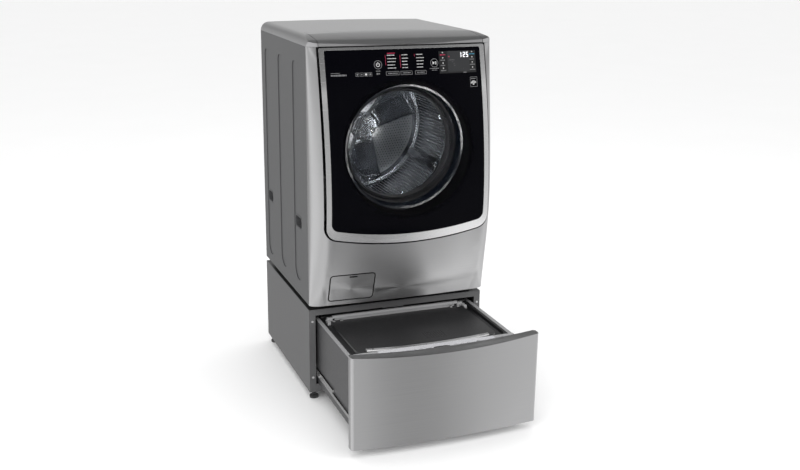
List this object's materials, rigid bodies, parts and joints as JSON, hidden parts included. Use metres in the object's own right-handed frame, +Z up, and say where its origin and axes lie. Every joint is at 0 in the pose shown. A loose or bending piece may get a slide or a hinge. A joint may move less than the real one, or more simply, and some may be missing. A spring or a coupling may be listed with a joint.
{
  "type": "washing machine",
  "caption": "Front-loading washing machine with a glass door and drum, standing on a pedestal with a pull-out drawer that holds a small top-loading washer.",
  "frame": {"origin": "on the floor, at the middle of the whole object's width and depth with the pedestal drawer pulled out", "axes": "+X to the right seen from the front, -Y out of the front, +Z up"},
  "size_m": [0.7, 1.18, 1.369],
  "materials": {
    "side_paint": "satin grey enamel",
    "front_steel": "brushed stainless look, clear coated",
    "top_enamel": "satin silver enamel",
    "drawer_steel": "brushed stainless look, clear coated",
    "pedestal_paint": "satin grey enamel",
    "zinc": "bare galvanised sheet",
    "black_glass": "smoked tempered glass",
    "clear_glass": "clear pressed glass",
    "black_plastic": "black moulded plastic",
    "grey_plastic": "fine grained grey plastic",
    "white_plastic": "white moulded plastic",
    "lid_plastic": "dark smoked plastic",
    "strip_plastic": "light grey gloss plastic",
    "chrome": "chrome plated",
    "steel": "polished stainless steel",
    "rubber": "moulded rubber",
    "gasket_rubber": "grey moulded rubber",
    "cast": "raw casting"
  },
  "bodies": {
    "cabinet": {"washer_side_left": "side_paint", "washer_side_right": "side_paint", "washer_back_panel": "zinc", "washer_base_pan": "zinc", "washer_feet": "rubber", "top_cover": "top_enamel", "top_plate": "top_enamel", "dispenser_housing": "white_plastic", "front_frame": "front_steel", "front_bulkhead": "black_plastic", "door_lock": "black_plastic", "door_hinge_bracket": "steel", "drain_pump": "black_plastic", "outer_tub": "white_plastic", "shaft_bearings": "steel", "motor_stator": "cast", "counterweights": "cast", "door_gasket": "gasket_rubber", "tub_springs": "steel", "tub_dampers": "black_plastic", "inlet_valves": "white_plastic", "drain_outlet": "black_plastic", "pedestal_cabinet": "pedestal_paint", "pedestal_top_plate": "pedestal_paint", "pedestal_rails": "pedestal_paint", "levelling_feet": "rubber", "flange_screws": "chrome", "slide_rails_fixed": "steel"},
    "door": {"door_frame": "front_steel", "door_glass": "black_glass", "door_back_panel": "black_plastic", "door_ring": "black_plastic", "door_bowl": "clear_glass", "door_hook": "black_plastic", "door_hinge_leaf": "steel"},
    "dispenser": {"dispenser_front": "top_enamel", "dispenser_tray": "white_plastic"},
    "filter_flap": {"filter_cover": "front_steel"},
    "filter_plug": {"drain_filter": "black_plastic"},
    "drum_group": {"drum": "steel", "drum_lifters": "steel", "drum_spider_shaft": "steel", "motor_rotor": "steel"},
    "drawer": {"drawer_box": "pedestal_paint", "drawer_rim": "black_plastic", "control_ledge": "grey_plastic", "drawer_front_panel": "drawer_steel", "control_strip": "strip_plastic", "slide_rails_inner": "steel", "lid_hinges": "steel", "drawer_rear_trim": "steel", "mini_tub": "white_plastic", "mini_motor": "cast"},
    "slide_middle": {"slide_rails_middle": "steel"},
    "lid": {"drawer_lid": "lid_plastic", "lid_handle_trim": "chrome"},
    "mini_drum_group": {"mini_drum": "steel", "pulsator": "grey_plastic"},
    "power_press": {"power_button": "chrome"},
    "start_press": {"start_button": "chrome"}
  },
  "joints": [
    {"name": "door_hinge", "type": "hinge", "parent": "cabinet", "child": "door", "pos_m": [-0.301, -0.183, 0.7975], "axis": [0, 0, -1], "range_deg": [0, 100]},
    {"name": "dispenser_slide", "type": "slide", "parent": "cabinet", "child": "dispenser", "axis": [0, -1, 0], "range_m": [0, 0.16]},
    {"name": "filter_cover_hinge", "type": "hinge", "parent": "cabinet", "child": "filter_flap", "pos_m": [-0.2005, -0.1155, 0.415], "axis": [-1, 0, 0], "range_deg": [-80, 0]},
    {"name": "filter_turn", "type": "hinge", "parent": "cabinet", "child": "filter_plug", "pos_m": [-0.2, -0.057, 0.455], "axis": [0, -1, 0], "range_deg": [0, 90]},
    {"name": "drum_spin", "type": "hinge", "parent": "cabinet", "child": "drum_group", "pos_m": [0, 0.223, 0.97], "axis": [0, -1, 0], "continuous": true},
    {"name": "drawer_slide", "type": "slide", "parent": "cabinet", "child": "drawer", "axis": [0, -1, 0], "range_m": [-0.445, 0]},
    {"name": "middle_slide", "type": "slide", "parent": "cabinet", "child": "slide_middle", "axis": [0, -1, 0], "range_m": [-0.2225, 0]},
    {"name": "lid_hinge", "type": "hinge", "parent": "drawer", "child": "lid", "pos_m": [0, -0.079, 0.308], "axis": [-1, 0, 0], "range_deg": [0, 60]},
    {"name": "mini_drum_spin", "type": "hinge", "parent": "drawer", "child": "mini_drum_group", "pos_m": [0, -0.247, 0.2], "axis": [0, 0, 1], "continuous": true},
    {"name": "power_button_press", "type": "slide", "parent": "drawer", "child": "power_press", "axis": [0, 0, -1], "range_m": [0, 0.0015], "stiffness_N_per_m": 800},
    {"name": "start_button_press", "type": "slide", "parent": "drawer", "child": "start_press", "axis": [0, 0, -1], "range_m": [0, 0.0015], "stiffness_N_per_m": 800}
  ],
  "couplings": [
    {"joint": "middle_slide", "follows": "drawer_slide", "ratio": 0.5}
  ]
}
